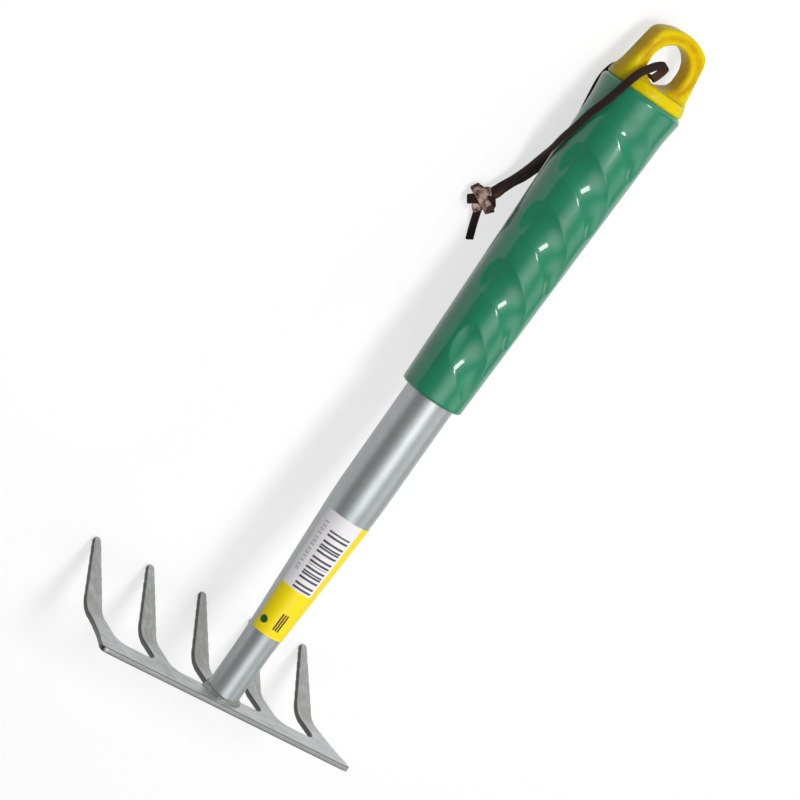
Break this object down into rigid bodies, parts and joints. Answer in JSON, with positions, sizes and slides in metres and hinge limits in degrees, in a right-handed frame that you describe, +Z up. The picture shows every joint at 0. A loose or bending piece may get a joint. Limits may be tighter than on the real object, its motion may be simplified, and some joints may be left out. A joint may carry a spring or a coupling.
{
  "type": "hand rake",
  "caption": "Hand rake: pressed steel head with bent tines on a swaged steel tube, moulded grip with slanted finger grooves, and an end cap whose hanging loop holds a knotted leather lace.",
  "frame": {"origin": "on the floor under the middle of the rake's bounding box, measured without the lace", "axes": "+X along the head's bar, +Y along the floor from the head to the hanging loop, +Z up; the rake lies on its tine tips and the rim of its grip"},
  "size_m": [0.1312, 0.3294, 0.0755],
  "materials": {
    "head_steel": "satin silver lacquer",
    "tube_steel": "satin silver lacquer",
    "weld_steel": "lacquered over",
    "grip_plastic": "satin moulded",
    "cap_plastic": "gloss moulded",
    "label_film": "gloss film",
    "lace_leather": "dark grain with a suede back"
  },
  "bodies": {
    "root": {"rake_head": "head_steel", "handle_tube": "tube_steel", "weld_bead": "weld_steel", "grip_sleeve": "grip_plastic", "end_cap": "cap_plastic", "tube_label": "label_film", "lace_front": "lace_leather", "lace_back": "lace_leather", "lace_knot": "lace_leather", "lace_tail": "lace_leather"}
  },
  "joints": []
}
